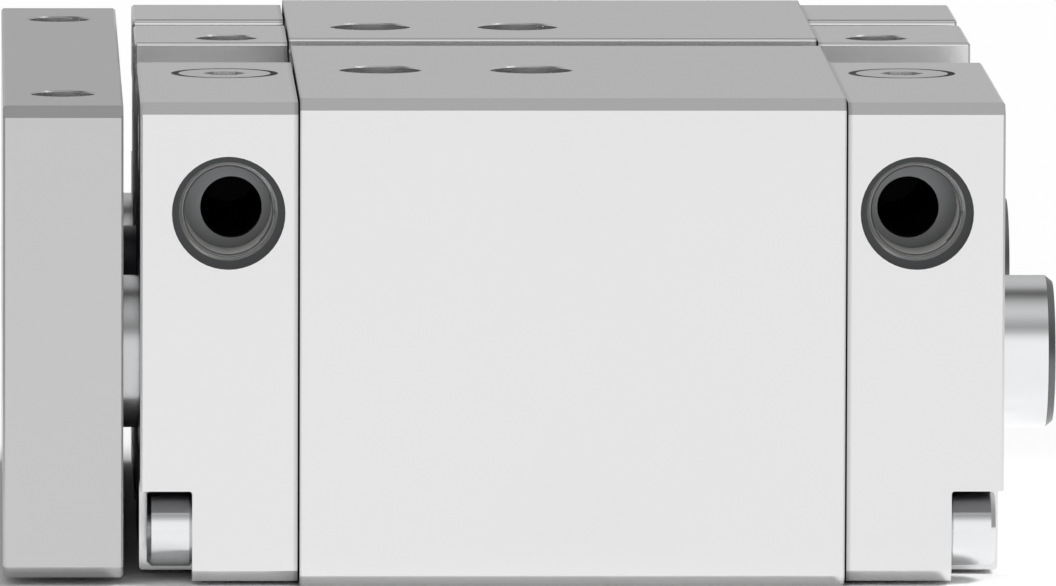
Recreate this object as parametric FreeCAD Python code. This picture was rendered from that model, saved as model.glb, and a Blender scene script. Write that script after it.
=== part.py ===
import FreeCAD, Part
import math
import os

# Guided pneumatic cylinder: a barrel between two caps, a piston on a rod, and two guide rods
# that join the rod in a yoke plate outside the bearing cap.
# Millimetres. Origin: middle of the barrel's underside. +Z up, -X towards the yoke,
# -Y towards the side with the air ports.

# ---- driving dimensions ----
bore_diameter = 50.0
stroke = 50.0
piston_rod_diameter = 16.0
guide_rod_diameter = 20.0
guide_spacing = 110.0
guide_drop = 3.0

barrel_length = 71.2
barrel_width = 148.0
barrel_height = 64.0
long_chamfer = 1.5

cap_length = 20.8
cap_inset = 0.6
spigot_length = 3.6
spigot_land = 0.8
oring_section = 1.7
oring_groove_width = 2.0

yoke_thickness = 15.7
yoke_width = 146.4
yoke_height = 61.9
yoke_gap = 2.2
rod_overhang = 7.7

# ---- clearances ----
running_clearance = 0.03
thread_clearance = 0.05
end_play = 0.1

# ---- how far a cutter runs past the face that it opens, and how closely edges are matched ----
overrun = 1.0
match_tolerance = 1e-4

# ---- barrel details ----
hole_chamfer = 0.2
mount_hole_diameter = 11.0
mount_hole_pitch = 20.0
mount_hole_spread = 63.8
mount_hole_centre_x = -14.3
guide_passage_radius = 12.5
slot_centre_y = 9.1
slot_recess_width = 11.4
slot_recess_depth = 1.8
slot_lip_radius = 0.45
slot_mouth_width = 5.6
slot_mouth_depth = 3.2
slot_chamber_width = 7.4
slot_chamber_depth = 5.5

# ---- cap details (u is the distance inward from a cap's outer face) ----
cap_channel_width = 29.4
cap_channel_depth = 5.0
cap_groove_centre_y = 45.25
cap_groove_width = 9.1
cap_groove_depth = 3.0
channel_lip_radius = 0.45
groove_lip_radius = 0.8
rim_relief_width = 0.26
rim_relief_depth = 1.2
outer_edge_chamfer = 0.3

port_u = 11.5
port_height = 17.0
port_outer_diameter = 14.8
port_thread_diameter = 12.3
port_thread_depth = 14.5
port_ring_depth = 2.6
port_mouth_chamfer = 0.3
port_floor = 1.2
passage_diameter = 8.1
passage_shift_u = 0.5
passage_drop = 0.6
passage_end_y = -10.0
chamber_drill_radius = 3.0
chamber_drill_y = -14.0
chamber_drill_height = 15.5

plug_y = -30.7
plug_diameter = 14.2
plug_length = 8.0
plug_head_diameter = 12.2
plug_head_height = 0.6
plug_hex = 5.0
plug_hex_depth = 4.0

top_thread_y = 21.9
top_thread_u = 12.4
top_thread_diameter = 8.5
top_thread_depth = 15.0

guide_bush_outer = 24.0
guide_wiper_outer = 25.0
guide_wiper_length = 4.0
guide_wiper_inset = 0.3
lip_length_share = 0.3
lip_slope_share = 0.3
lip_relief_share = 0.35

rod_recess_diameter = 26.0
rod_recess_depth = 1.2
circlip_thickness = 1.0
circlip_groove_depth = 0.8
circlip_bite = 0.7
circlip_width = 1.6
circlip_gap = 4.4
circlip_gap_height = 5.0
circlip_eye_diameter = 3.0
circlip_eye_hole = 1.4
circlip_eye_spread = 7.2
circlip_eye_rise = 2.3
rod_seal_length = 5.0
rod_bush_outer = 20.0
rod_bush_start_u = 7.5
rod_passage_clearance = 0.4

# ---- screws: nominal diameter, head diameter, head height, hex, hex depth, length ----
M6_SCREW = (6.0, 10.0, 5.9, 5.0, 3.0, 25.0)
M8_SCREW = (8.0, 13.0, 8.0, 6.0, 4.0, 20.0)
screw_rim_share = 0.06
screw_seat_share = 0.035
cap_screw_seat_u = 6.8
notch_height = 11.9
notch_depth = 14.0
notch_corner_radius = 0.4
notch_screw_inset = 6.8
notch_screw_drop = 25.0
side_notch_height = 16.6
side_notch_span = 11.1
hidden_screw_y = 43.0
hidden_screw_z = 24.6
cap_screw_counterbore = 10.5
cap_screw_hole = 6.6
barrel_thread_depth = 13.0

# ---- yoke details ----
rod_socket_depth = 3.0
yoke_counterbore_diameter = 14.0
yoke_counterbore_depth = 8.4
yoke_screw_hole = 9.0
yoke_thread_diameter = 6.8
yoke_thread_spread_y = 80.0
yoke_thread_spread_z = 40.0
yoke_top_thread_diameter = 8.5
yoke_top_thread_depth = 15.0
rod_thread_depth = 18.0
rod_yoke_end_chamfer = 0.5
guide_rod_end_chamfer = 1.3
piston_rod_shoulder_chamfer = 0.3

# ---- piston details ----
cushion_thickness = 1.0
cushion_outer_radius = 17.6
cushion_inner_radius = 13.0
piston_half_radius = 24.6
piston_half_hub_radius = 20.0
piston_half_flange = 1.3
piston_half_length = 3.9
magnet_inner_radius = 14.0
magnet_outer_radius = 20.6
piston_seal_side_gap = 0.1
piston_seal_groove_depth = 1.2
piston_seal_lip = 1.0
piston_seal_heel_relief = 0.4
wear_ring_gap = 1.0
piston_stud_diameter = 10.0
piston_stud_overhang = 0.8
piston_nut_hex = 16.0
piston_nut_height = 5.0
nut_pocket_radius = 11.5
nut_pocket_depth = 6.6

# ---- places worked out from the driving dimensions ----
axis_z = barrel_height / 2
guide_z = axis_z - guide_drop
guide_y = guide_spacing / 2
barrel_end_x = barrel_length / 2
cap_face_x = barrel_end_x + cap_length
yoke_back_x = -cap_face_x - yoke_gap
yoke_face_x = yoke_back_x - yoke_thickness
rod_end_x = cap_face_x + rod_overhang
bore_radius = bore_diameter / 2
piston_rod_radius = piston_rod_diameter / 2
guide_rod_radius = guide_rod_diameter / 2
cap_width = barrel_width - 2 * cap_inset
cap_height = barrel_height - 2 * cap_inset
cap_top_z = axis_z + cap_height / 2
cap_front_y = -cap_width / 2
free_length = barrel_length - 2 * spigot_length - 2 * cushion_thickness
piston_length = free_length - stroke - 2 * end_play
piston_rear_x = barrel_end_x - spigot_length - cushion_thickness - end_play
piston_front_x = piston_rear_x - piston_length
port_z = axis_z + port_height
passage_z = port_z - passage_drop
notch_screw_y = cap_front_y + notch_screw_inset
notch_screw_z = axis_z - notch_screw_drop
side_screw_z = axis_z + side_notch_height

# A cap is given by the X of its outer face and the way inward along X.
BEARING_CAP = (-cap_face_x, 1)
END_CAP = (cap_face_x, -1)
GUIDE_SIDES = (("port_side", -guide_y), ("back_side", guide_y))
CAP_SCREW_PLACES = (
    (notch_screw_y, notch_screw_z),
    (-notch_screw_y, side_screw_z),
    (-hidden_screw_y, axis_z + hidden_screw_z),
    (hidden_screw_y, axis_z - hidden_screw_z),
)


def at(cap, u):
    """X of the plane that lies u inside a cap's outer face."""
    outer_x, inward = cap
    return outer_x + inward * u


def rod_x(radius, x_from, x_to, y, z):
    """Round bar along X between two planes, given in either order."""
    start = min(x_from, x_to)
    return Part.makeCylinder(radius, abs(x_to - x_from), FreeCAD.Vector(start, y, z), FreeCAD.Vector(1, 0, 0))


def tube_x(outer, inner, x_from, x_to, y, z):
    return rod_x(outer, x_from, x_to, y, z).cut(rod_x(inner, x_from, x_to, y, z))


def rod_y(radius, x, y_from, y_to, z):
    return Part.makeCylinder(radius, y_to - y_from, FreeCAD.Vector(x, y_from, z), FreeCAD.Vector(0, 1, 0))


def rod_z(radius, x, y, z_from, z_to):
    return Part.makeCylinder(radius, z_to - z_from, FreeCAD.Vector(x, y, z_from))


def block(x_from, x_to, y_from, y_to, z_from, z_to):
    start = min(x_from, x_to)
    return Part.makeBox(abs(x_to - x_from), y_to - y_from, z_to - z_from, FreeCAD.Vector(start, y_from, z_from))


def extrude_outline(points, x_from, x_to):
    """Bar along X whose cross-section is the closed outline of (y, z) points."""
    start = min(x_from, x_to)
    corners = [FreeCAD.Vector(start, y, z) for y, z in points]
    wire = Part.makePolygon(corners + corners[:1])
    return Part.Face(wire).extrude(FreeCAD.Vector(abs(x_to - x_from), 0, 0))


def revolve_about_x(points, y, z):
    """Ring turned about an axis along X, from (x, radius) points of its half section."""
    corners = [FreeCAD.Vector(x, y, z + radius) for x, radius in points]
    wire = Part.makePolygon(corners + corners[:1])
    return Part.Face(wire).revolve(FreeCAD.Vector(0, y, z), FreeCAD.Vector(1, 0, 0), 360)


def hexagon_x(across_flats, x_from, x_to, y, z):
    corner_radius = across_flats / math.sqrt(3)
    points = []
    for step in range(6):
        angle = math.radians(60 * step)
        points.append((y + corner_radius * math.cos(angle), z + corner_radius * math.sin(angle)))
    return extrude_outline(points, x_from, x_to)


def chamfered_plate(x_from, x_to, width, height, chamfer):
    """Rectangular bar along X, centred on the piston axis, with its long edges chamfered."""
    half_y = width / 2
    half_z = height / 2
    points = []
    for sign_y, sign_z, across in ((1, -1, 0), (1, 1, 1), (-1, 1, 0), (-1, -1, 1)):
        near = (sign_y * (half_y - chamfer), axis_z + sign_z * half_z)
        far = (sign_y * half_y, axis_z + sign_z * (half_z - chamfer))
        points += [far, near] if across else [near, far]
    return extrude_outline(points, x_from, x_to)


def edges_at_x(shape, x):
    """Edges that lie in the plane at x: the rim of a plate's end face."""
    found = []
    for edge in shape.Edges:
        box = edge.BoundBox
        if abs(box.XMin - x) < match_tolerance and abs(box.XMax - x) < match_tolerance:
            found.append(edge)
    return found


def round_long_edges(shape, radius, places):
    """Rounds the edges parallel to X that pass through the (y, z) places."""
    found = []
    for edge in shape.Edges:
        box = edge.BoundBox
        for y, z in places:
            in_y = abs(box.YMin - y) < match_tolerance and abs(box.YMax - y) < match_tolerance
            in_z = abs(box.ZMin - z) < match_tolerance and abs(box.ZMax - z) < match_tolerance
            if in_y and in_z:
                found.append(edge)
    return shape.makeFillet(radius, found)


def hole_z(radius, x, y, z_from, z_to):
    """Cutter for a hole along Z with a small chamfer at its upper mouth."""
    base = FreeCAD.Vector(x, y, z_to - hole_chamfer)
    mouth = Part.makeCone(radius, radius + 2 * hole_chamfer, 2 * hole_chamfer, base)
    return rod_z(radius, x, y, z_from, z_to + overrun).fuse(mouth)


def save(shape, name):
    shape.exportStep("parts/%s.step" % name)


def save_group(shapes, name):
    Part.makeCompound(shapes).exportStep("parts/%s.step" % name)


# ---- fasteners ----
def socket_screw(size, seat_x, outward, y, z):
    """Socket-head cap screw along X: its head stands outward of seat_x and its shank goes inward."""
    diameter, head_diameter, head_height, hex_size, hex_depth, length = size
    head_end = seat_x + outward * head_height
    rim = screw_rim_share * head_diameter
    under = screw_seat_share * head_diameter
    section = [
        (seat_x - outward * length, 0),
        (seat_x - outward * length, diameter / 2 - rim),
        (seat_x - outward * (length - rim), diameter / 2),
        (seat_x, diameter / 2),
        (seat_x, head_diameter / 2 - under),
        (seat_x + outward * under, head_diameter / 2),
        (head_end - outward * rim, head_diameter / 2),
        (head_end, head_diameter / 2 - rim),
        (head_end, 0),
    ]
    screw = revolve_about_x(section, y, z)
    return screw.cut(hexagon_x(hex_size, head_end - outward * hex_depth, head_end, y, z))


def cap_screws(cap):
    return [socket_screw(M6_SCREW, at(cap, cap_screw_seat_u), -cap[1], y, z) for y, z in CAP_SCREW_PLACES]


# ---- barrel ----
def slot_cutter():
    """Sensor slot: a shallow recess over a T-shaped slot."""
    top = barrel_height
    recess = slot_recess_width / 2
    mouth = slot_mouth_width / 2
    chamber = slot_chamber_width / 2
    half = [
        (recess, top + overrun),
        (recess, top - slot_recess_depth),
        (mouth, top - slot_recess_depth),
        (mouth, top - slot_mouth_depth),
        (chamber, top - slot_mouth_depth),
        (chamber, top - slot_chamber_depth),
    ]
    points = [(slot_centre_y + y, z) for y, z in half]
    points += [(slot_centre_y - y, z) for y, z in reversed(half)]
    return extrude_outline(points, -barrel_end_x, barrel_end_x)


def barrel():
    plate = chamfered_plate(-barrel_end_x, barrel_end_x, barrel_width, barrel_height, long_chamfer)
    slot_lips = [(slot_centre_y + sign * slot_recess_width / 2, barrel_height) for sign in (-1, 1)]
    body = round_long_edges(plate.cut(slot_cutter()), slot_lip_radius, slot_lips)
    cutters = [rod_x(bore_radius, -barrel_end_x, barrel_end_x, 0, axis_z)]
    for side_name, y in GUIDE_SIDES:
        cutters.append(rod_x(guide_passage_radius, -barrel_end_x, barrel_end_x, y, guide_z))
    for x_sign in (-1, 1):
        for y_sign in (-1, 1):
            x = mount_hole_centre_x + x_sign * mount_hole_pitch / 2
            y = y_sign * mount_hole_spread / 2
            cutters.append(hole_z(mount_hole_diameter / 2, x, y, -overrun, barrel_height))
    thread_radius = M6_SCREW[0] / 2 + thread_clearance
    thread_end_x = barrel_end_x - barrel_thread_depth
    for end in (-1, 1):
        for y, z in CAP_SCREW_PLACES:
            cutters.append(rod_x(thread_radius, end * barrel_end_x, end * thread_end_x, y, z))
    return body.cut(cutters)


# ---- caps ----
def cap_outline():
    """Cross-section of a cap: channels in the middle of top and bottom, one groove in the top."""
    half_y = cap_width / 2
    half_z = cap_height / 2
    channel = cap_channel_width / 2
    groove_near = cap_groove_centre_y - cap_groove_width / 2
    groove_far = cap_groove_centre_y + cap_groove_width / 2
    floor = half_z - cap_channel_depth
    groove_floor = half_z - cap_groove_depth
    points = [(-half_y, half_z - long_chamfer), (-half_y + long_chamfer, half_z)]
    points += [(-channel, half_z), (-channel, floor), (channel, floor), (channel, half_z)]
    points += [(groove_near, half_z), (groove_near, groove_floor)]
    points += [(groove_far, groove_floor), (groove_far, half_z)]
    points += [(half_y - long_chamfer, half_z), (half_y, half_z - long_chamfer)]
    points += [(half_y, -half_z + long_chamfer), (half_y - long_chamfer, -half_z)]
    points += [(channel, -half_z), (channel, -floor), (-channel, -floor), (-channel, -half_z)]
    points += [(-half_y + long_chamfer, -half_z), (-half_y, -half_z + long_chamfer)]
    return [(y, axis_z + z) for y, z in points]


def cap_plate(cap):
    """A cap's outline as a bar, with the lips of its channels and groove rounded."""
    body = extrude_outline(cap_outline(), at(cap, 0), at(cap, cap_length))
    channel_lips = []
    groove_lips = []
    for sign in (-1, 1):
        channel_y = sign * cap_channel_width / 2
        channel_lips += [(channel_y, cap_top_z), (channel_y, cap_top_z - cap_height)]
        groove_lips.append((cap_groove_centre_y + sign * cap_groove_width / 2, cap_top_z))
    body = round_long_edges(body, channel_lip_radius, channel_lips)
    return round_long_edges(body, groove_lip_radius, groove_lips)


def rim_relief(cap):
    """Shallow step round a cap's inner face, which shows as a dark line at the joint."""
    outer_from = at(cap, cap_length - rim_relief_width)
    outer_to = at(cap, cap_length)
    shell = block(outer_from, outer_to, -barrel_width, barrel_width, -barrel_height, 2 * barrel_height)
    core_width = cap_width - 2 * rim_relief_depth
    core_height = cap_height - 2 * rim_relief_depth
    return shell.cut(chamfered_plate(outer_from, outer_to, core_width, core_height, long_chamfer))


def notch_cutter(cap, y_from, y_to, z_from, z_to):
    """Corner pocket for a screw head, open through the outer face, with small inner corners."""
    pocket = block(at(cap, -overrun), at(cap, cap_screw_seat_u), y_from, y_to, z_from, z_to)
    inner_x = at(cap, cap_screw_seat_u)
    corners = []
    for edge in pocket.Edges:
        box = edge.BoundBox
        on_inner_wall = abs(box.XMin - inner_x) < match_tolerance and abs(box.XMax - inner_x) < match_tolerance
        if on_inner_wall and box.YLength > box.ZLength:
            corners.append(edge)
    return pocket.makeFillet(notch_corner_radius, corners)


def air_way(cap):
    """Port pocket, cross passage, drilling into the cylinder chamber and the plugged top port."""
    port_x = at(cap, port_u)
    passage_x = at(cap, port_u + passage_shift_u)
    pocket_end = cap_front_y + port_thread_depth + port_floor
    cap_inner_end = at(cap, cap_length + spigot_length)
    return [
        rod_y(port_outer_diameter / 2, port_x, cap_front_y - overrun, pocket_end, port_z),
        rod_y(passage_diameter / 2, passage_x, cap_front_y, passage_end_y, passage_z),
        rod_x(chamber_drill_radius, passage_x, cap_inner_end, chamber_drill_y, axis_z + chamber_drill_height),
        rod_z(plug_diameter / 2, port_x, plug_y, cap_top_z - plug_length, cap_top_z + overrun),
        rod_z(passage_diameter / 2, port_x, plug_y, passage_z, cap_top_z),
    ]


def cap_screw_cutters(cap):
    cutters = []
    seat = at(cap, cap_screw_seat_u)
    for y, z in CAP_SCREW_PLACES:
        cutters.append(rod_x(cap_screw_hole / 2, seat, at(cap, cap_length), y, z))
    for y, z in CAP_SCREW_PLACES[2:]:
        cutters.append(rod_x(cap_screw_counterbore / 2, at(cap, -overrun), seat, y, z))
    notch_top = cap_top_z - cap_height + notch_height
    cutters.append(notch_cutter(cap, cap_front_y - overrun, cap_front_y + notch_depth, -overrun, notch_top))
    side_low = side_screw_z - side_notch_span / 2
    side_high = side_screw_z + side_notch_span / 2
    cutters.append(notch_cutter(cap, -cap_front_y - notch_depth, -cap_front_y + overrun, side_low, side_high))
    return cutters


def cap_blank(cap):
    """What both caps share: body, spigot into the bore, guide bores, air way, screw holes."""
    body = cap_plate(cap)
    body = body.makeChamfer(outer_edge_chamfer, edges_at_x(body, at(cap, 0)))
    spigot_radius = bore_radius - thread_clearance
    spigot = rod_x(spigot_radius, at(cap, cap_length), at(cap, cap_length + spigot_length), 0, axis_z)
    body = body.fuse(spigot)
    cutters = [rim_relief(cap), oring_groove(cap)]
    for side_name, y in GUIDE_SIDES:
        wiper_end = at(cap, guide_wiper_length)
        cutters.append(rod_x(guide_wiper_outer / 2, at(cap, -overrun), wiper_end, y, guide_z))
        cutters.append(rod_x(guide_bush_outer / 2, wiper_end, at(cap, cap_length), y, guide_z))
    cutters += air_way(cap)
    cutters += cap_screw_cutters(cap)
    thread_x = at(cap, top_thread_u)
    thread_floor = cap_top_z - top_thread_depth
    cutters.append(hole_z(top_thread_diameter / 2, thread_x, top_thread_y, thread_floor, cap_top_z))
    return body.cut(cutters)


def bearing_cap():
    cap = BEARING_CAP
    inner_end = at(cap, cap_length + spigot_length)
    recess = rod_recess_diameter / 2
    bush = rod_bush_outer / 2
    seal_end = at(cap, rod_recess_depth + circlip_thickness + rod_seal_length)
    passage = piston_rod_radius + rod_passage_clearance
    groove = recess + circlip_groove_depth
    cutters = [
        rod_x(recess, at(cap, -overrun), seal_end, 0, axis_z),
        rod_x(groove, at(cap, rod_recess_depth), at(cap, rod_recess_depth + circlip_thickness), 0, axis_z),
        rod_x(bush, at(cap, rod_bush_start_u), inner_end, 0, axis_z),
        rod_x(passage, seal_end, inner_end, 0, axis_z),
    ]
    return cap_blank(cap).cut(cutters)


def end_cap():
    cap = END_CAP
    inner_end = at(cap, cap_length + spigot_length)
    pocket = rod_x(nut_pocket_radius, inner_end, inner_end + nut_pocket_depth, 0, axis_z)
    return cap_blank(cap).cut(pocket)


def port_bush(cap):
    """Threaded bush set back in the port: flat ring, chamfered thread bore, floor with the passage."""
    port_x = at(cap, port_u)
    thread_radius = port_thread_diameter / 2
    ring_y = cap_front_y + port_ring_depth
    floor_y = cap_front_y + port_thread_depth
    body = rod_y(port_outer_diameter / 2, port_x, ring_y, floor_y + port_floor, port_z)
    bore = rod_y(thread_radius, port_x, ring_y, floor_y, port_z)
    mouth = Part.makeCone(
        thread_radius + port_mouth_chamfer, thread_radius, port_mouth_chamfer,
        FreeCAD.Vector(port_x, ring_y, port_z), FreeCAD.Vector(0, 1, 0),
    )
    passage_x = at(cap, port_u + passage_shift_u)
    passage = rod_y(passage_diameter / 2, passage_x, ring_y, floor_y + port_floor, passage_z)
    return body.cut([bore, mouth, passage])


def port_plug(cap):
    """Socket plug that closes the second port: its head is flush with the cap's top."""
    x = at(cap, port_u)
    head_z = cap_top_z - plug_head_height
    body = rod_z(plug_diameter / 2, x, plug_y, cap_top_z - plug_length, head_z)
    body = body.fuse(rod_z(plug_head_diameter / 2, x, plug_y, head_z, cap_top_z))
    corner_radius = plug_hex / math.sqrt(3)
    corners = []
    for step in range(6):
        angle = math.radians(60 * step)
        offset = FreeCAD.Vector(corner_radius * math.cos(angle), corner_radius * math.sin(angle), 0)
        corners.append(FreeCAD.Vector(x, plug_y, cap_top_z - plug_hex_depth) + offset)
    socket = Part.Face(Part.makePolygon(corners + corners[:1])).extrude(FreeCAD.Vector(0, 0, plug_hex_depth))
    return body.cut(socket)


# ---- seals and bearings in the caps ----
def oring_groove(cap):
    groove_from = at(cap, cap_length + spigot_land)
    groove_to = at(cap, cap_length + spigot_land + oring_groove_width)
    groove_floor = bore_radius - oring_section
    return tube_x(bore_radius + overrun, groove_floor, groove_from, groove_to, 0, axis_z)


def barrel_oring(cap):
    """Round cord ring, drawn with an eight-sided section, between spigot groove and bore."""
    centre_x = at(cap, cap_length + spigot_land + oring_groove_width / 2)
    cord_radius = oring_section / 2
    section = []
    for step in range(8):
        angle = math.radians(45 * step)
        radius = bore_radius - cord_radius + cord_radius * math.sin(angle)
        section.append((centre_x + cord_radius * math.cos(angle), radius))
    return revolve_about_x(section, 0, axis_z)


def guide_bush(cap, y):
    inner = guide_rod_radius + running_clearance
    return tube_x(guide_bush_outer / 2, inner, at(cap, guide_wiper_length), at(cap, cap_length), y, guide_z)


def lip_ring(cap, u_from, u_to, outer, inner, y, z):
    """Wiper or seal with its lip towards the cap's outer face."""
    lip = lip_length_share * (u_to - u_from)
    relief = lip_relief_share * (outer - inner)
    section = [
        (at(cap, u_to), inner + relief),
        (at(cap, u_to), outer),
        (at(cap, u_from + lip), outer),
        (at(cap, u_from), outer - lip_slope_share * (outer - inner)),
        (at(cap, u_from), inner),
        (at(cap, u_from + lip), inner),
        (at(cap, u_from + 2 * lip), inner + relief),
    ]
    return revolve_about_x(section, y, z)


def guide_wiper(cap, y):
    inner = guide_rod_radius + running_clearance
    return lip_ring(cap, guide_wiper_inset, guide_wiper_length, guide_wiper_outer / 2, inner, y, guide_z)


def rod_seal():
    u_from = rod_recess_depth + circlip_thickness
    inner = piston_rod_radius + running_clearance
    outer = rod_recess_diameter / 2
    return lip_ring(BEARING_CAP, u_from, u_from + rod_seal_length, outer, inner, 0, axis_z)


def rod_circlip():
    """Snap ring with its gap at the bottom and two eyes beside the gap."""
    start = at(BEARING_CAP, rod_recess_depth)
    end = at(BEARING_CAP, rod_recess_depth + circlip_thickness)
    recess = rod_recess_diameter / 2
    eye_z = axis_z - recess + circlip_eye_rise
    eye_hole = circlip_eye_hole / 2
    ring = tube_x(recess + circlip_bite, recess - circlip_width, start, end, 0, axis_z)
    gap_top = axis_z - recess - circlip_bite + circlip_gap_height
    ring = ring.cut(block(start, end, -circlip_gap / 2, circlip_gap / 2, 0, gap_top))
    eyes = []
    for sign in (-1, 1):
        eye_y = sign * circlip_eye_spread / 2
        ring = ring.cut(rod_x(eye_hole, start, end, eye_y, eye_z))
        eyes.append(tube_x(circlip_eye_diameter / 2, eye_hole, start, end, eye_y, eye_z))
    return ring.fuse(eyes)


def rod_bush():
    inner = piston_rod_radius + running_clearance
    end = at(BEARING_CAP, cap_length + spigot_length)
    return tube_x(rod_bush_outer / 2, inner, at(BEARING_CAP, rod_bush_start_u), end, 0, axis_z)


def cushion_ring(cap):
    start = at(cap, cap_length + spigot_length)
    end = at(cap, cap_length + spigot_length + cushion_thickness)
    return tube_x(cushion_outer_radius, cushion_inner_radius, start, end, 0, axis_z)


# ---- moving parts ----
def yoke_plate():
    body = chamfered_plate(yoke_face_x, yoke_back_x, yoke_width, yoke_height, long_chamfer)
    rims = edges_at_x(body, yoke_face_x) + edges_at_x(body, yoke_back_x)
    body = body.makeChamfer(outer_edge_chamfer, rims)
    middle_x = (yoke_face_x + yoke_back_x) / 2
    top_z = axis_z + yoke_height / 2
    socket_x = yoke_back_x - rod_socket_depth
    cutters = [rod_x(piston_rod_radius, socket_x, yoke_back_x, 0, axis_z)]
    rod_places = [(0, axis_z)]
    for side_name, y in GUIDE_SIDES:
        cutters.append(rod_x(guide_rod_radius, socket_x, yoke_back_x, y, guide_z))
        thread_floor = top_z - yoke_top_thread_depth
        cutters.append(hole_z(yoke_top_thread_diameter / 2, middle_x, y, thread_floor, top_z))
        rod_places.append((y, guide_z))
    for y, z in rod_places:
        cutters.append(rod_x(yoke_screw_hole / 2, yoke_face_x, yoke_back_x, y, z))
        counterbore_x = yoke_face_x + yoke_counterbore_depth
        cutters.append(rod_x(yoke_counterbore_diameter / 2, yoke_face_x, counterbore_x, y, z))
    for y_sign in (-1, 1):
        for z_sign in (-1, 1):
            y = y_sign * yoke_thread_spread_y / 2
            z = axis_z + z_sign * yoke_thread_spread_z / 2
            cutters.append(rod_x(yoke_thread_diameter / 2, yoke_face_x, yoke_back_x, y, z))
    return body.cut(cutters)


def rod_with_thread(radius, x_from, x_to, end_chamfer, y, z):
    """Rod along X with a threaded hole in its yoke end and chamfers on both ends."""
    section = [
        (x_from, 0),
        (x_from, radius - rod_yoke_end_chamfer),
        (x_from + rod_yoke_end_chamfer, radius),
        (x_to - end_chamfer, radius),
        (x_to, radius - end_chamfer),
        (x_to, 0),
    ]
    thread_radius = M8_SCREW[0] / 2 + thread_clearance
    return revolve_about_x(section, y, z).cut(rod_x(thread_radius, x_from, x_from + rod_thread_depth, y, z))


def guide_rod(y):
    start = yoke_back_x - rod_socket_depth
    return rod_with_thread(guide_rod_radius, start, rod_end_x, guide_rod_end_chamfer, y, guide_z)


def piston_rod():
    start = yoke_back_x - rod_socket_depth
    body = rod_with_thread(piston_rod_radius, start, piston_front_x, piston_rod_shoulder_chamfer, 0, axis_z)
    stud_end = piston_rear_x + piston_nut_height + piston_stud_overhang
    stud = rod_x(piston_stud_diameter / 2, piston_front_x - overrun, stud_end, 0, axis_z)
    return body.fuse(stud).removeSplitter()


def piston_half(outer_x, inward):
    """Turned piston half: a flange on the pressure side and a hub that carries the lip seal."""
    stud = piston_stud_diameter / 2 + running_clearance
    section = [
        (outer_x, stud),
        (outer_x, piston_half_radius),
        (outer_x + inward * piston_half_flange, piston_half_radius),
        (outer_x + inward * piston_half_flange, piston_half_hub_radius),
        (outer_x + inward * piston_half_length, piston_half_hub_radius),
        (outer_x + inward * piston_half_length, stud),
    ]
    return revolve_about_x(section, 0, axis_z)


def piston_seal(outer_x, inward):
    """U-section lip seal, open towards the pressure side."""
    seal_from = outer_x + inward * (piston_half_flange + piston_seal_side_gap)
    seal_to = outer_x + inward * (piston_half_length - piston_seal_side_gap)
    outer = bore_radius - running_clearance
    groove = seal_from + inward * piston_seal_groove_depth
    middle = (piston_half_hub_radius + outer) / 2
    section = [
        (seal_from, piston_half_hub_radius),
        (seal_to, piston_half_hub_radius),
        (seal_to, outer - piston_seal_heel_relief),
        (seal_from, outer),
        (seal_from, outer - piston_seal_lip),
        (groove, middle),
        (seal_from, piston_half_hub_radius + piston_seal_lip),
    ]
    return revolve_about_x(section, 0, axis_z)


def magnet_ring():
    start = piston_front_x + piston_half_length
    end = piston_rear_x - piston_half_length
    return tube_x(magnet_outer_radius, magnet_inner_radius, start, end, 0, axis_z)


def piston_spacer():
    """Hub ring inside the magnet, clamped between the two piston halves."""
    start = piston_front_x + piston_half_length
    end = piston_rear_x - piston_half_length
    stud = piston_stud_diameter / 2 + running_clearance
    return tube_x(magnet_inner_radius, stud, start, end, 0, axis_z)


def wear_ring():
    """Split guide ring round the magnet, cut at the top to snap in."""
    start = piston_front_x + piston_half_length
    end = piston_rear_x - piston_half_length
    ring = tube_x(bore_radius - running_clearance, magnet_outer_radius, start, end, 0, axis_z)
    half_gap = wear_ring_gap / 2
    return ring.cut(block(start, end, -half_gap, half_gap, axis_z, axis_z + bore_radius))


def piston_nut():
    start = piston_rear_x
    end = piston_rear_x + piston_nut_height
    body = hexagon_x(piston_nut_hex, start, end, 0, axis_z)
    return body.cut(rod_x(piston_stud_diameter / 2 + thread_clearance, start, end, 0, axis_z))


def yoke_screws(places):
    seat_x = yoke_face_x + yoke_counterbore_depth
    return [socket_screw(M8_SCREW, seat_x, -1, y, z) for y, z in places]


# ---- write every piece ----
os.makedirs("parts", exist_ok=True)

save(barrel(), "barrel")
save(bearing_cap(), "bearing_cap")
save(end_cap(), "end_cap")
for cap_name, cap in (("bearing_cap", BEARING_CAP), ("end_cap", END_CAP)):
    save_group(cap_screws(cap), cap_name + "_screws")
    save(port_bush(cap), cap_name + "_port_bush")
    save(port_plug(cap), cap_name + "_port_plug")
    save(barrel_oring(cap), cap_name + "_oring")
    save(cushion_ring(cap), cap_name + "_cushion_ring")
    for side_name, y in GUIDE_SIDES:
        save(guide_bush(cap, y), "%s_guide_bush_%s" % (cap_name, side_name))
        save(guide_wiper(cap, y), "%s_guide_wiper_%s" % (cap_name, side_name))
save(rod_seal(), "piston_rod_seal")
save(rod_circlip(), "piston_rod_seal_circlip")
save(rod_bush(), "piston_rod_bush")

save(yoke_plate(), "yoke_plate")
for side_name, y in GUIDE_SIDES:
    save(guide_rod(y), "guide_rod_" + side_name)
save(piston_rod(), "piston_rod")
save(piston_half(piston_front_x, 1), "piston_front_half")
save(piston_half(piston_rear_x, -1), "piston_rear_half")
save(piston_seal(piston_front_x, 1), "piston_front_seal")
save(piston_seal(piston_rear_x, -1), "piston_rear_seal")
save(magnet_ring(), "piston_magnet_ring")
save(piston_spacer(), "piston_spacer")
save(wear_ring(), "piston_wear_ring")
save(piston_nut(), "piston_nut")
save_group(yoke_screws([(y, guide_z) for side_name, y in GUIDE_SIDES]), "guide_rod_screws")
save_group(yoke_screws([(0, axis_z)]), "piston_rod_screw")
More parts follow.
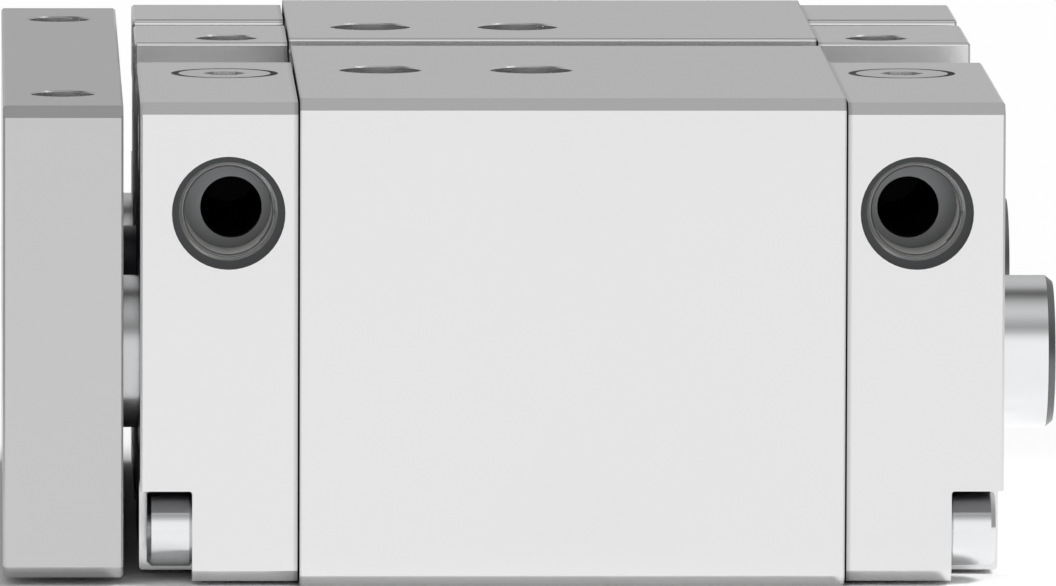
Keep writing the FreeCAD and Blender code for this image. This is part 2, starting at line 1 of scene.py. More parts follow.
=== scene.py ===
"""Guided cylinder: finishes, screw threads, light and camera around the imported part.

Blender works in metres. Sizes and places here are in mm, as in the part, and MM converts them.
Origin: middle of the barrel's underside, with -X towards the yoke and -Y towards the ports.
"""
import math

import bpy
from mathutils import Matrix, Vector


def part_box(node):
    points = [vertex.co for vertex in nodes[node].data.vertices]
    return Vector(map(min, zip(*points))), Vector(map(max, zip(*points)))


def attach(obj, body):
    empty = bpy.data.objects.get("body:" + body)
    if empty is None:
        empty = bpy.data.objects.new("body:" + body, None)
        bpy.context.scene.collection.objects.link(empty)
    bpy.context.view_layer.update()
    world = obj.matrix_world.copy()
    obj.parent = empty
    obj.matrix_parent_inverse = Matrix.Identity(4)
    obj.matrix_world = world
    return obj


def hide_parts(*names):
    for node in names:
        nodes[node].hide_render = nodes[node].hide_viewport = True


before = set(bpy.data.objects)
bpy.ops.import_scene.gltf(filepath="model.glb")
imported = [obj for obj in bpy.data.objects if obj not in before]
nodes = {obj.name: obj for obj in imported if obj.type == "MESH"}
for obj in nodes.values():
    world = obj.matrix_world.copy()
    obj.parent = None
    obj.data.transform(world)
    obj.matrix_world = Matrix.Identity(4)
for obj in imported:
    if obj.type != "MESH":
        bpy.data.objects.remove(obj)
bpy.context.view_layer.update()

MM = 0.001

# ---- how a material is made ----
FINE_DETAIL = 2.0
# The slow change of tone goes over about this length.
SLOW_LENGTH = 22
SLOW_DETAIL = 3.0
# How far the grain moves the roughness up and down.
GLOSS_CHANGE = 0.04
# Painted shade beside a joint: its tone, and how much of it is mixed in where it is strongest.
JOINT_SHADE_TONE = "#4A4A4A"
JOINT_SHADE_SHARE = 0.5


def linear(hex_colour):
    """An sRGB hex colour as the linear colour that a shader takes."""
    channels = [int(hex_colour[i:i + 2], 16) / 255 for i in (1, 3, 5)]
    scaled = [c / 12.92 if c <= 0.04045 else ((c + 0.055) / 1.055) ** 2.4 for c in channels]
    return (*scaled, 1.0)


def add(tree, kind, inputs, **settings):
    """Adds a node: INPUTS are sockets to link or values to set, SETTINGS its own options."""
    made = tree.nodes.new("ShaderNode" + kind)
    for name, value in settings.items():
        setattr(made, name, value)
    for name, value in inputs.items():
        if isinstance(value, bpy.types.NodeSocket):
            tree.links.new(value, made.inputs[name])
        else:
            made.inputs[name].default_value = value
    return made


def new_material(name):
    """An empty material and its node tree."""
    made = bpy.data.materials.new(name)
    made.use_nodes = True
    made.node_tree.nodes.clear()
    return made, made.node_tree


def surface(name, tone, metallic, roughness, grain, relief, mottle, joint_shade=None):
    """A finish with a fine relief in its surface and a slow change of tone and gloss over it.

    GRAIN is how long one mark of the relief is along X, Y and Z, and RELIEF is how deep it is.
    MOTTLE is the share by which the slow change darkens the tone. JOINT_SHADE gives two distances
    from the middle along X: where painted shade by a joint is darkest, and where the plain tone
    starts.
    """
    made, tree = new_material(name)
    place = add(tree, "TexCoord", {}).outputs["Object"]
    fine_scale = [1 / (length * MM) for length in grain]
    fine_place = add(tree, "Mapping", {"Vector": place, "Scale": fine_scale}).outputs["Vector"]
    fine = add(tree, "TexNoise", {"Vector": fine_place, "Scale": 1.0, "Detail": FINE_DETAIL})
    slow = add(tree, "TexNoise", {
        "Vector": place, "Scale": 1 / (SLOW_LENGTH * MM), "Detail": SLOW_DETAIL,
    })
    darker = [c * (1 - mottle) for c in linear(tone)[:3]] + [1.0]
    tint = add(
        tree, "Mix", {0: slow.outputs["Fac"], 6: linear(tone), 7: darker}, data_type="RGBA",
    ).outputs[2]
    # Painted shade: a dark tone mixed in near the joint, strongest at the first distance along X.
    if joint_shade:
        along = add(tree, "SeparateXYZ", {0: place}).outputs["X"]
        distance = add(tree, "Math", {0: along}, operation="ABSOLUTE").outputs[0]
        shade = add(tree, "MapRange", {
            "Value": distance,
            "From Min": joint_shade[0] * MM, "From Max": joint_shade[1] * MM,
            "To Min": JOINT_SHADE_SHARE, "To Max": 0.0,
        }).outputs["Result"]
        tint = add(
            tree, "Mix", {0: shade, 6: tint, 7: linear(JOINT_SHADE_TONE)}, data_type="RGBA",
        ).outputs[2]
    gloss = add(tree, "MapRange", {
        "Value": fine.outputs["Fac"],
        "To Min": roughness - GLOSS_CHANGE,
        "To Max": roughness + GLOSS_CHANGE,
    })
    bump = add(tree, "Bump", {
        "Height": fine.outputs["Fac"], "Distance": relief * MM, "Strength": 1.0,
    })
    shader = add(tree, "BsdfPrincipled", {
        "Base Color": tint,
        "Metallic": metallic,
        "Roughness": gloss.outputs["Result"],
        "Normal": bump.outputs["Normal"],
    })
    add(tree, "OutputMaterial", {"Surface": shader.outputs["BSDF"]})
    return made


# ---- materials ----
# Grain, real and drawn: blasting leaves dimples of about 0.1 mm, plating, moulding and sintering
# grains of 0.05 to 0.1 mm, and grinding, turning and milling lines 0.03 to 0.1 mm apart. All of
# that is too fine to show, so each is drawn two to four times as coarse.


def even(length):
    """A grain of the same length all ways."""
    return (length, length, length)


# Grinding lines run round a rod, and turning lines round a disc.
GROUND_ROUND = (0.12, 14, 14)
TURNED_ROUND = (0.15, 12, 12)

# Profile, etched and clear anodised: even satin grey, with painted shade darkening it towards its
# ends.
anodised_profile = surface(
    "anodised_extrusion", "#E8E8E8", metallic=1.0, roughness=0.2,
    grain=even(0.3), relief=0.0003, mottle=0.02, joint_shade=(35.65, 35.3),
)
# Caps, milled, bead blasted and clear anodised: the same satin grey, with painted shade beside the
# joint.
anodised_caps = surface(
    "anodised_milled_aluminium", "#E8E8E8", metallic=1.0, roughness=0.2,
    grain=even(0.3), relief=0.0003, mottle=0.02, joint_shade=(35.8, 36.5),
)
# Clear anodised plate of a harder alloy: the same satin, a tone darker.
anodised_plate = surface(
    "anodised_aluminium_plate", "#C8C8C9", metallic=1.0, roughness=0.22,
    grain=even(0.3), relief=0.0003, mottle=0.02,
)
# Bright zinc plating on cold-formed screws: nearly white, with crisp reflections.
zinc_plated_steel = surface(
    "zinc_plated_steel", "#EDEEEF", metallic=1.0, roughness=0.12,
    grain=even(0.4), relief=0.001, mottle=0.03,
)
# Black oxide on turned steel: dark grey metal with a dull sheen.
dark_oxide_steel = surface(
    "dark_oxide_steel", "#4E4F50", metallic=1.0, roughness=0.4,
    grain=even(0.3), relief=0.001, mottle=0.05,
)
# Dull nickel plating: light grey, with soft reflections.
nickel_plated_steel = surface(
    "nickel_plated_steel", "#DCDDDC", metallic=1.0, roughness=0.25,
    grain=even(0.4), relief=0.0008, mottle=0.02,
)
# Ground and hard chromed steel: a near mirror, softened along the rod by the grinding lines.
ground_chromed_steel = surface(
    "ground_chromed_steel", "#EDEEEF", metallic=1.0, roughness=0.11,
    grain=GROUND_ROUND, relief=0.0003, mottle=0.01,
)
# Chrome beside the yoke, in the gap before the bearing cap: a tone darker, as painted shade in that
# gap.
chrome_gap_shade = surface(
    "chrome_painted_gap_shade", "#CBCCCD", metallic=1.0, roughness=0.14,
    grain=GROUND_ROUND, relief=0.0003, mottle=0.01,
)
# Turned end of a hardened rod, outside the chrome: dark grey, a painted reflection of dark
# surroundings to the right.
rod_end_dark_reflection = surface(
    "rod_end_painted_reflection", "#747576", metallic=1.0, roughness=0.3,
    grain=(3, 0.15, 0.15), relief=0.001, mottle=0.08,
)
# Ground and black nitrided steel: nearly black, with a satin sheen.
nitrided_steel = surface(
    "nitrided_steel", "#36373A", metallic=1.0, roughness=0.3,
    grain=GROUND_ROUND, relief=0.0005, mottle=0.05,
)
# Turned aluminium without a coat: bright, with rings that spread the reflections.
turned_aluminium = surface(
    "turned_aluminium", "#D6D7D8", metallic=1.0, roughness=0.28,
    grain=TURNED_ROUND, relief=0.001, mottle=0.02,
)
# Spring steel with a phosphate coat: dull black.
spring_steel = surface(
    "phosphated_spring_steel", "#3A3B3C", metallic=1.0, roughness=0.45,
    grain=even(0.2), relief=0.002, mottle=0.08,
)
# Ferrite powder in a moulded binder: dry and charcoal grey.
bonded_ferrite = surface(
    "bonded_ferrite", "#39383A", metallic=0.0, roughness=0.6,
    grain=even(0.3), relief=0.004, mottle=0.15,
)
# Moulded plastic with a dry lubricant in it: dark brown, half matt.
bearing_plastic = surface(
    "filled_bearing_plastic", "#3B3733", metallic=0.0, roughness=0.5,
    grain=even(0.25), relief=0.003, mottle=0.1,
)
# Pressed and sintered bronze, soaked in oil: brown, porous and dull.
sintered_bronze = surface(
    "sintered_bronze", "#A9805A", metallic=1.0, roughness=0.45,
    grain=even(0.2), relief=0.003, mottle=0.15,
)
# Moulded nitrile rubber: black, half matt.
nitrile_rubber = surface(
    "nitrile_rubber", "#1D1E1F", metallic=0.0, roughness=0.5,
    grain=even(0.2), relief=0.003, mottle=0.1,
)
# Painted shade in a drilled air passage: near black, so that almost no light comes back out.
passage_shade_black = surface(
    "painted_shade_in_passage", "#0C0C0D", metallic=0.0, roughness=0.5,
    grain=even(0.3), relief=0.002, mottle=0.1,
)
# Wall of a through or tapped hole, bored smooth: a tone darker and duller than the blasted faces.
bored_aluminium = surface(
    "bored_aluminium", "#D6D6D7", metallic=1.0, roughness=0.27,
    grain=(2, 2, 0.15), relief=0.0004, mottle=0.05,
)
# Sawn end of the profile, which the anodising leaves dull and dark.
sawn_aluminium = surface(
    "sawn_aluminium_end", "#7C7C7D", metallic=1.0, roughness=0.45,
    grain=(0.4, 0.4, 3), relief=0.002, mottle=0.1,
)
# Painted shade in the open joint: near black on the cap's step and its floor, where the narrow gap
# is in shade.
joint_gap_shade = surface(
    "joint_gap_shade", "#0A0A0A", metallic=0.0, roughness=0.6,
    grain=even(0.3), relief=0.002, mottle=0.1,
)
# Zinc phosphate coat on the thread and wall of a port: light grey, dry and matt.
phosphate_coat = surface(
    "zinc_phosphate_coat", "#E4E4E2", metallic=0.0, roughness=0.6,
    grain=even(0.2), relief=0.002, mottle=0.05,
)
# Bare aluminium torn a little by the tap: mid grey and dull. On a plug's shoulder and its hole's
# wall, this grey is painted shade.
tapped_metal_and_groove_shade = surface(
    "tapped_metal_and_groove_shade", "#9C9D9E", metallic=1.0, roughness=0.4,
    grain=even(0.3), relief=0.002, mottle=0.05,
)
# Floor of a port, bored after the oxide: mid grey, fine rings.
bored_steel_floor = surface(
    "bored_steel_floor", "#868788", metallic=1.0, roughness=0.4,
    grain=(0.2, 3, 0.2), relief=0.001, mottle=0.05,
)
# Chamfer or first thread turn, cut last, on bare metal: lighter than the oxide, and matt.
bright_cut_edge = surface(
    "bright_cut_edge", "#9C9C9C", metallic=1.0, roughness=0.5,
    grain=even(0.1), relief=0.001, mottle=0.05,
)
# Hexagon pressed into a plug: light plating over the marks of the broach.
broached_steel = surface(
    "broached_steel", "#F0F0F0", metallic=1.0, roughness=0.28,
    grain=(0.2, 0.2, 2), relief=0.001, mottle=0.05,
)
# Ceiling of a screw pocket: dull dark grey, painted shade in the recess over the screw head.
pocket_ceiling_shade = surface(
    "pocket_ceiling_shade", "#7D7D7E", metallic=1.0, roughness=0.4,
    grain=even(0.3), relief=0.002, mottle=0.05,
)
# Outer end of a cap, faced with a wide cutter: duller than the blasted sides.
faced_aluminium_end = surface(
    "faced_aluminium_end", "#D2D2D2", metallic=1.0, roughness=0.4,
    grain=(0.2, 4, 0.2), relief=0.0008, mottle=0.04,
)

CAPS = ("bearing_cap", "end_cap")
CAP_SIGN = {"bearing_cap": -1, "end_cap": 1}
SIDE_SIGN = {"port_side": -1, "back_side": 1}


def on_each_cap(*endings):
    """The names of the nodes that both caps have."""
    return [f"{cap}_{ending}" for cap in CAPS for ending in endings]


def give(material, *names):
    """Gives whole nodes one material."""
    for name in names:
        mesh = nodes[name].data
        mesh.materials.clear()
        mesh.materials.append(material)


give(anodised_profile, "barrel")
give(anodised_caps, *CAPS)
give(anodised_plate, "yoke_plate")
give(zinc_plated_steel, *on_each_cap("screws"), "guide_rod_screws", "piston_rod_screw")
give(zinc_plated_steel, "piston_nut")
give(dark_oxide_steel, *on_each_cap("port_bush"))
give(nickel_plated_steel, *on_each_cap("port_plug"))
give(nitrided_steel, "piston_rod")
give(turned_aluminium, "piston_front_half", "piston_rear_half", "piston_spacer")
give(spring_steel, "piston_rod_seal_circlip")
give(bonded_ferrite, "piston_magnet_ring")
give(bearing_plastic, "piston_wear_ring", *on_each_cap("cushion_ring"))
give(sintered_bronze, "piston_rod_bush")
give(sintered_bronze, *on_each_cap("guide_bush_port_side", "guide_bush_back_side"))
give(nitrile_rubber, "piston_rod_seal", "piston_front_seal", "piston_rear_seal")
give(nitrile_rubber, *on_each_cap("oring", "guide_wiper_port_side", "guide_wiper_back_side"))

# ---- finishes on single faces ----
# Barrel and the joints beside it.
BARREL_END_X = 35.6
JOINT_GAP = 0.26
MOUNT_HOLES_X = (-24.3, -4.3)
MOUNT_HOLES_Y = (-31.9, 31.9)
MOUNT_HOLE_RADIUS = 5.5
# Caps: outer end, top, screw pockets, and the tapped hole in the top.
CAP_FACE_X = 56.4
CAP_TOP_Z = 63.4
POCKET_CEILING_Z = 12.5
POCKET_BACK_Y = -59.4
CAP_TAP_X = 44.0
CAP_TAP_Y = 21.9
# Ports: middle, the ring at the mouth, and the chamfer, thread and floor behind the ring.
PORT_X = 44.9
PORT_Z = 49.0
PORT_RADIUS = 7.4
RING_Y = -70.8
BUSH_CHAMFER = 0.3
BUSH_FLOOR_Y = -58.9
PASSAGE_X = 44.4
PASSAGE_Z = 48.4
PASSAGE_RADIUS = 4.05
# Plugs in the tops of the caps, above the ports' passages.
PLUG_Y = -30.7
PLUG_RADIUS = 7.1
PLUG_SHOULDER_Z = 62.8
PLUG_HEX_RADIUS = 2.9
# Yoke and the tapped holes in its top and outer face.
YOKE_TOP_Z = 62.95
YOKE_MIDDLE_X = -66.45
YOKE_FACE_X = -74.3
YOKE_TOP_TAP_Y = 55.0
YOKE_FACE_TAP_Y = 40.0
YOKE_FACE_TAP_Z = {"low": 12.0, "high": 52.0}
# Radii of the tapping drills.
M10_DRILL_RADIUS = 4.25
M8_DRILL_RADIUS = 3.4
# How closely a face's centre has to match one of these places.
TOUCH = 0.03
# The least part of a face's normal along an axis when it faces that way, the least when it is a
# chamfer, and the most when it stands along the axis.
FACING = 0.9
SLOPING = 0.3
STANDING = 0.1


def paint(material, name, wanted):
    """Gives the material to the faces of a node whose centre (in mm) and normal pass the test."""
    mesh = nodes[name].data
    mesh.materials.append(material)
    slot = len(mesh.materials) - 1
    for face in mesh.polygons:
        if wanted(face.center / MM, face.normal):
            face.material_index = slot


def near_z_axis(centre, x, y, radius):
    return math.hypot(centre.x - x, centre.y - y) < radius + TOUCH


def near_y_axis(centre, x, z, radius):
    return math.hypot(centre.x - x, centre.z - z) < radius + TOUCH


def in_joint(centre, normal):
    """The step on the cap's rim that leaves the joint open, and its floor."""
    depth = abs(centre.x) - BARREL_END_X
    on_step = depth > JOINT_GAP - TOUCH and abs(normal.x) > FACING
    on_floor = abs(normal.x) < STANDING
    return TOUCH < depth < JOINT_GAP + TOUCH and (on_step or on_floor)


def in_pocket_ceiling(centre, normal):
    at_ceiling = abs(centre.z - POCKET_CEILING_Z) < TOUCH
    return at_ceiling and normal.z < -FACING and centre.y < POCKET_BACK_Y


def paint_cap(cap, sign):
    """Finishes of one cap with its port bush and plug. Later paint covers earlier paint."""
    port_x = sign * PORT_X
    tap_x = sign * CAP_TAP_X

    def in_port(c):
        return near_y_axis(c, port_x, PORT_Z, PORT_RADIUS)

    def in_passage(c):
        return near_y_axis(c, sign * PASSAGE_X, PASSAGE_Z, PASSAGE_RADIUS)

    def under_plug(c, radius):
        return near_z_axis(c, port_x, PLUG_Y, radius)

    # Painted shade: the step and floor of the open joint are near black.
    paint(joint_gap_shade, cap, in_joint)
    # Painted shade: the air passage, and below it the drilling under the plug, are near black.
    paint(passage_shade_black, cap, lambda c, n: in_passage(c) and c.y > RING_Y)
    paint(passage_shade_black, cap, lambda c, n: under_plug(c, PASSAGE_RADIUS))
    # Painted shade: the hole under the plug, above the passage's axis, is mid grey.
    paint(tapped_metal_and_groove_shade, cap, lambda c, n: under_plug(c, PLUG_RADIUS) and c.z > PASSAGE_Z)
    paint(dark_oxide_steel, cap, lambda c, n: in_port(c) and c.y < RING_Y)
    paint(bored_aluminium, cap, lambda c, n: near_z_axis(c, tap_x, CAP_TAP_Y, M10_DRILL_RADIUS))
    # Painted shade: the ceiling of the screw pocket is dark grey.
    paint(pocket_ceiling_shade, cap, in_pocket_ceiling)
    paint(
        faced_aluminium_end, cap,
        lambda c, n: n.x * sign > FACING and abs(c.x) > CAP_FACE_X - TOUCH,
    )
    bush = cap + "_port_bush"
    paint(phosphate_coat, bush, lambda c, n: c.y > RING_Y + TOUCH)
    paint(
        bright_cut_edge, bush,
        lambda c, n: TOUCH < c.y - RING_Y < BUSH_CHAMFER and abs(n.y) > SLOPING,
    )
    paint(
        bored_steel_floor, bush,
        lambda c, n: n.y < -FACING and abs(c.y - BUSH_FLOOR_Y) < TOUCH,
    )
    # Painted shade: the passage through the bush's floor is near black.
    paint(passage_shade_black, bush, lambda c, n: in_passage(c) and c.y > BUSH_FLOOR_Y)
    plug = cap + "_port_plug"
    # Painted shade: the plug's shoulder under its head is mid grey.
    paint(
        tapped_metal_and_groove_shade, plug,
        lambda c, n: n.z > FACING and abs(c.z - PLUG_SHOULDER_Z) < TOUCH,
    )
    paint(
        broached_steel, plug,
        lambda c, n: under_plug(c, PLUG_HEX_RADIUS) and c.z < CAP_TOP_Z - TOUCH,
    )


def in_mount_hole(centre, normal):
    """The plain walls of the four holes for the mounting screws."""
    in_a_hole = any(
        near_z_axis(centre, x, y, MOUNT_HOLE_RADIUS) for x in MOUNT_HOLES_X for y in MOUNT_HOLES_Y
    )
    return in_a_hole and abs(normal.z) < STANDING


def in_yoke_top_hole(centre, normal):
    return any(
        near_z_axis(centre, YOKE_MIDDLE_X, sign * YOKE_TOP_TAP_Y, M10_DRILL_RADIUS)
        for sign in SIDE_SIGN.values()
    )


for cap, sign in CAP_SIGN.items():
    paint_cap(cap, sign)
paint(bored_aluminium, "barrel", in_mount_hole)
paint(
    sawn_aluminium, "barrel",
    lambda c, n: abs(n.x) > FACING and abs(c.x) > BARREL_END_X - TOUCH,
)
paint(bored_aluminium, "yoke_plate", in_yoke_top_hole)

# ---- guide rods ----
ROD_RADIUS = 10.0
ROD_SEGMENTS = 160
YOKE_END_CHAMFER = 0.5
SCREW_HOLE_RADIUS = 4.05
SCREW_HOLE_DEPTH = 18.0
# Where the painted shade of the gap beside the yoke changes to plain chrome.
ROOT_X = -56.3
# The free end: where its chamfer starts and ends, and the radius left at the end.
CHAMFER_X = 62.65
END_X = 63.6
END_RADIUS = 9.2
SMOOTH_BELOW = math.radians(30)


def draw_out(length, radius_from, radius_to, centre):
    """In edit mode, extrudes the selected end along X by LENGTH and gives it a new radius.

    CENTRE is a point on the rod's axis, in metres.
    """
    bpy.ops.mesh.extrude_region_move(TRANSFORM_OT_translate={"value": (length * MM, 0, 0)})
    share = radius_to / radius_from
    bpy.ops.transform.resize(value=(1, share, share), center_override=centre)


def select_end(piece, way):
    """In edit mode, selects just the end that faces along X or, with WAY -1, against it."""
    bpy.ops.mesh.select_all(action="DESELECT")
    bpy.ops.object.mode_set(mode="OBJECT")
    for face in piece.data.polygons:
        face.select = face.normal.x * way > FACING
    bpy.ops.object.mode_set(mode="EDIT")


def guide_rod(name, node):
    """Ground rod with chamfered ends and the hole for its screw in the yoke end."""
    low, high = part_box(node)
    centre = (0, (low[1] + high[1]) / 2, (low[2] + high[2]) / 2)
    start = ROOT_X * MM
    end = CHAMFER_X * MM
    root_length = ROOT_X - low[0] / MM - YOKE_END_CHAMFER
    bpy.ops.object.select_all(action="DESELECT")
    bpy.ops.mesh.primitive_cylinder_add(
        vertices=ROD_SEGMENTS, radius=ROD_RADIUS * MM, depth=end - start,
        location=((start + end) / 2, centre[1], centre[2]), rotation=(0, math.pi / 2, 0),
    )
    rod = bpy.context.object
    rod.name = name
    bpy.ops.object.transform_apply(location=True, rotation=True, scale=True)
    bpy.ops.object.mode_set(mode="EDIT")
    bpy.ops.mesh.select_mode(type="FACE")
    select_end(rod, 1)
    draw_out(END_X - CHAMFER_X, ROD_RADIUS, END_RADIUS, centre)
    select_end(rod, -1)
    draw_out(-root_length, ROD_RADIUS, ROD_RADIUS, centre)
    face_radius = ROD_RADIUS - YOKE_END_CHAMFER
    draw_out(-YOKE_END_CHAMFER, ROD_RADIUS, face_radius, centre)
    draw_out(0, face_radius, SCREW_HOLE_RADIUS, centre)
    draw_out(SCREW_HOLE_DEPTH, SCREW_HOLE_RADIUS, SCREW_HOLE_RADIUS, centre)
    bpy.ops.mesh.select_all(action="SELECT")
    bpy.ops.mesh.normals_make_consistent(inside=False)
    bpy.ops.object.mode_set(mode="OBJECT")
    bpy.ops.object.shade_smooth_by_angle(angle=SMOOTH_BELOW)
    for finish in (ground_chromed_steel, chrome_gap_shade, rod_end_dark_reflection):
        rod.data.materials.append(finish)
    for face in rod.data.polygons:
        # Painted shade: the stretch in the gap beside the yoke is a darker chrome.
        if face.center.x < start:
            face.material_index = 1
        # Painted reflection: the chamfer and face of the free end are dark grey.
        elif face.center.x > end:
            face.material_index = 2
    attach(rod, "carriage")
    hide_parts(node)


for side in SIDE_SIGN:
    guide_rod("ground_guide_rod_" + side, "guide_rod_" + side)

# ---- threads ----
# Pitch, radius of the drilled hole, depth of the ridge, and turns.
G_QUARTER = (1.337, 6.15, 0.43, 7)
M10 = (1.5, M10_DRILL_RADIUS, 0.35, 8)
M8 = (1.25, M8_DRILL_RADIUS, 0.3, 11)
RIDGE_STEPS = 48
# How far inside its hole a thread starts.
RUN_IN = 0.9
# A port's thread is bright, without its coat, to this depth behind the ring: its first turn.
LEAD_IN = 2.27
# How a thread that grows along +Z is turned to run into its hole.
INTO_FRONT = (-math.pi / 2, 0, 0)
DOWN = (math.pi, 0, 0)
INTO_YOKE_FACE = (0, math.pi / 2, 0)
# A circle of three points around Z, turned to stand on edge with its crest towards the axis.
ON_EDGE = (math.pi / 2, -math.pi / 2, 0)
# The height of that triangle, whose crest is 1 from its middle. Its flanks meet at 60 degrees.
TRIANGLE_HEIGHT = 1.5


def thread(name, body, size, turn, start):
    """Inside thread of a hole: a triangular ridge screwed along its wall from START.

    SIZE is one of the sizes above, and TURN one of the ways into a hole.
    """
    pitch, drill_radius, depth, turns = size
    bpy.ops.object.select_all(action="DESELECT")
    bpy.ops.mesh.primitive_circle_add(
        vertices=3, radius=1.0, fill_type="NOTHING", rotation=ON_EDGE,
    )
    ridge = bpy.context.object
    ridge.name = name
    bpy.ops.object.transform_apply(location=True, rotation=True, scale=True)
    swell = (depth + TOUCH) * MM / TRIANGLE_HEIGHT
    ridge.scale = (swell, 1, swell)
    ridge.location = ((drill_radius - depth) * MM + swell, 0, 0)
    bpy.ops.object.transform_apply(location=True, rotation=True, scale=True)
    screw = ridge.modifiers.new("screw", "SCREW")
    screw.axis = "Z"
    screw.screw_offset = pitch * MM
    screw.iterations = turns
    screw.steps = RIDGE_STEPS
    screw.render_steps = RIDGE_STEPS
    bpy.ops.object.modifier_apply(modifier="screw")
    bpy.ops.object.mode_set(mode="EDIT")
    bpy.ops.mesh.select_all(action="SELECT")
    bpy.ops.mesh.fill_holes(sides=3)
    bpy.ops.mesh.normals_make_consistent(inside=False)
    bpy.ops.object.mode_set(mode="OBJECT")
    ridge.rotation_euler = turn
    ridge.location = Vector(start) * MM
    bpy.ops.object.transform_apply(location=True, rotation=True, scale=True)
    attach(ridge, body)
    return ridge


for cap, sign in CAP_SIGN.items():
    start = (sign * PORT_X, RING_Y + RUN_IN, PORT_Z)
    name = cap + "_port_thread"
    ridge = thread(name, "housing", G_QUARTER, INTO_FRONT, start)
    ridge.data.materials.append(phosphate_coat)
    ridge.data.materials.append(bright_cut_edge)
    for face in ridge.data.polygons:
        face.material_index = int(face.center.y / MM < RING_Y + LEAD_IN)
    start = (sign * CAP_TAP_X, CAP_TAP_Y, CAP_TOP_Z - RUN_IN)
    ridge = thread(cap + "_top_thread", "housing", M10, DOWN, start)
    ridge.data.materials.append(tapped_metal_and_groove_shade)
for side, sign in SIDE_SIGN.items():
    start = (YOKE_MIDDLE_X, sign * YOKE_TOP_TAP_Y, YOKE_TOP_Z - RUN_IN)
    ridge = thread("yoke_top_thread_" + side, "carriage", M10, DOWN, start)
    ridge.data.materials.append(tapped_metal_and_groove_shade)
    for level, z in YOKE_FACE_TAP_Z.items():
        start = (YOKE_FACE_X + RUN_IN, sign * YOKE_FACE_TAP_Y, z)
        name = f"yoke_face_thread_{side}_{level}"
        ridge = thread(name, "carriage", M8, INTO_YOKE_FACE, start)
        ridge.data.materials.append(tapped_metal_and_groove_shade)

# ---- floor, light and camera ----
FLOOR_SIZE = 12000
SWEEP_TONE = "#FBFBFB"
FLOOR_TONE = "#B4B4B4"
# Where the white sweep turns into the grey studio floor on its left and its right.
SWEEP_LEFT = (-120, -300)
SWEEP_RIGHT = (300, 500)
# Brightness of the studio by angle in degrees: from the horizon behind the camera, up over the
# object, to the far horizon.
STUDIO_TONES = (
    (0, 1.0), (20, 0.98), (27, 0.84), (34, 0.56), (42, 0.38), (50, 0.46), (60, 0.6), (68, 0.65),
    (78, 0.58), (88, 0.42), (96, 0.24), (103, 0.13), (110, 0.2), (118, 0.42), (126, 0.53),
    (140, 0.57), (156, 0.54), (172, 0.49), (180, 0.49),
)
# The side walls: their brightness, and how far sideways they start and are there in full.
SIDE_TONE = (0.35, 0.35, 0.35, 1)
SIDE_START = 0.5
SIDE_FULL = 0.95
SUN_STRENGTH = 2.3
SUN_SPREAD = math.radians(20)
SUN_TOWARDS = (-0.75, 0.1, -0.9)
LENS_LENGTH = 638.7
SENSOR_WIDTH = 36.0
CAMERA_PLACE = (-77.9, -2502.0, 291.3)
CAMERA_AIM = (-5.88, -74.0, 38.63)


def floor_paint():
    """Matt white paint on a sweep that runs away behind the object, pale grey on either side."""
    made, tree = new_material("matt_white_paint")
    place = add(tree, "TexCoord", {}).outputs["Object"]
    across = add(tree, "SeparateXYZ", {0: place}).outputs["X"]
    left, right = [
        add(
            tree, "MapRange",
            {"Value": across, "From Min": edge[0] * MM, "From Max": edge[1] * MM},
            interpolation_type="SMOOTHSTEP",
        ).outputs["Result"]
        for edge in (SWEEP_LEFT, SWEEP_RIGHT)
    ]
    grey = add(tree, "Math", {0: left, 1: right}, operation="MAXIMUM").outputs[0]
    tone = add(
        tree, "Mix", {0: grey, 6: linear(SWEEP_TONE), 7: linear(FLOOR_TONE)}, data_type="RGBA",
    ).outputs[2]
    shader = add(tree, "BsdfDiffuse", {"Color": tone})
    add(tree, "OutputMaterial", {"Surface": shader.outputs[0]})
    return made


def add_floor():
    bpy.ops.mesh.primitive_plane_add(size=FLOOR_SIZE * MM, location=(0, 0, 0))
    floor = bpy.context.object
    floor.name = "floor"
    floor.data.materials.append(floor_paint())


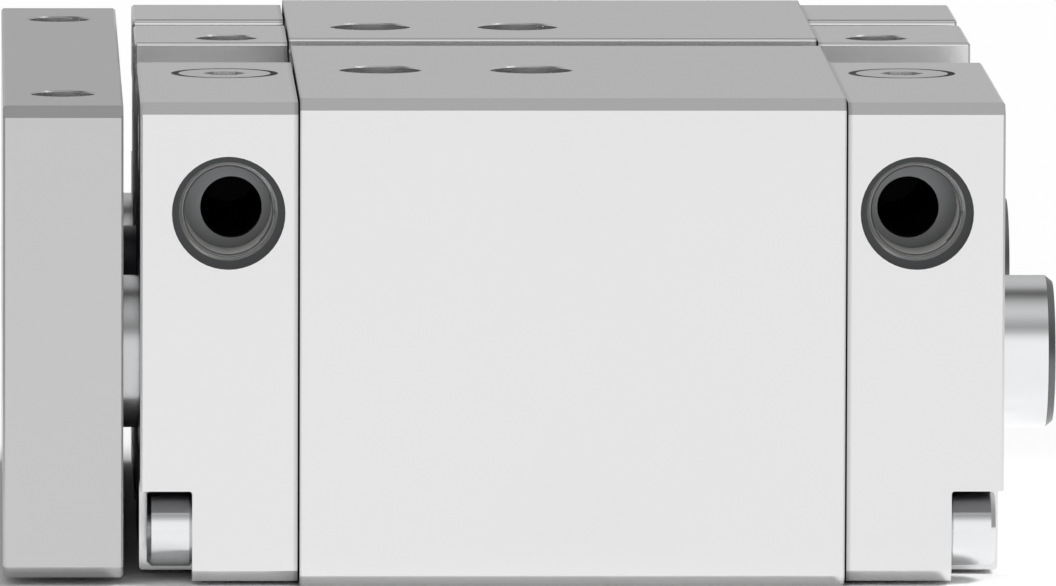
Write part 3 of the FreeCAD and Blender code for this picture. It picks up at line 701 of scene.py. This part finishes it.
def studio_walls():
    """World light: bright walls behind the camera, a dim ceiling and a mid-grey far wall."""
    world = bpy.data.worlds.new("studio")
    world.use_nodes = True
    bpy.context.scene.world = world
    tree = world.node_tree
    tree.nodes.clear()
    direction = add(tree, "TexCoord", {}).outputs["Generated"]
    parts = add(tree, "SeparateXYZ", {0: direction}).outputs
    towards_camera = add(tree, "Math", {0: parts["Y"], 1: -1.0}, operation="MULTIPLY").outputs[0]
    angle = add(tree, "Math", {0: parts["Z"], 1: towards_camera}, operation="ARCTAN2").outputs[0]
    half_turns = add(
        tree, "Math", {0: angle, 1: math.pi}, operation="DIVIDE", use_clamp=True,
    ).outputs[0]
    ramp = add(tree, "ValToRGB", {"Fac": half_turns})
    stops = ramp.color_ramp.elements
    while len(stops) < len(STUDIO_TONES):
        stops.new(0.5)
    for stop, (degrees, tone) in zip(stops, STUDIO_TONES):
        stop.position = degrees / 180
        stop.color = (tone, tone, tone, 1)
    sideways = add(tree, "Math", {0: parts["X"]}, operation="ABSOLUTE").outputs[0]
    side_share = add(
        tree, "MapRange", {"Value": sideways, "From Min": SIDE_START, "From Max": SIDE_FULL},
        interpolation_type="SMOOTHSTEP",
    ).outputs["Result"]
    tone = add(
        tree, "Mix", {0: side_share, 6: ramp.outputs["Color"], 7: SIDE_TONE}, data_type="RGBA",
    ).outputs[2]
    light = add(tree, "Background", {"Color": tone, "Strength": 1.0})
    add(tree, "OutputWorld", {"Surface": light.outputs[0]})


def add_sun():
    """Wide soft light from the upper right, a little in front of the object."""
    lamp = bpy.data.lights.new("softbox", "SUN")
    lamp.energy = SUN_STRENGTH
    lamp.angle = SUN_SPREAD
    place = bpy.data.objects.new("softbox", lamp)
    bpy.context.collection.objects.link(place)
    place.rotation_euler = Vector(SUN_TOWARDS).to_track_quat("-Z", "Y").to_euler()


def add_camera():
    """Long lens, a little above and left of the object, rolled so that its long edges lie level."""
    lens = bpy.data.cameras.new("camera")
    lens.lens = LENS_LENGTH
    lens.sensor_width = SENSOR_WIDTH
    camera = bpy.data.objects.new("camera", lens)
    bpy.context.collection.objects.link(camera)
    place = Vector(CAMERA_PLACE) * MM
    aim = Vector(CAMERA_AIM) * MM
    forward = (aim - place).normalized()
    right = (Vector((1, 0, 0)) - forward.x * forward).normalized()
    up = right.cross(forward)
    turn = Matrix((right, up, -forward)).transposed().to_4x4()
    camera.matrix_world = Matrix.Translation(place) @ turn
    bpy.context.scene.camera = camera


add_floor()
studio_walls()
add_sun()
add_camera()
bpy.context.scene.view_settings.view_transform = "Standard"
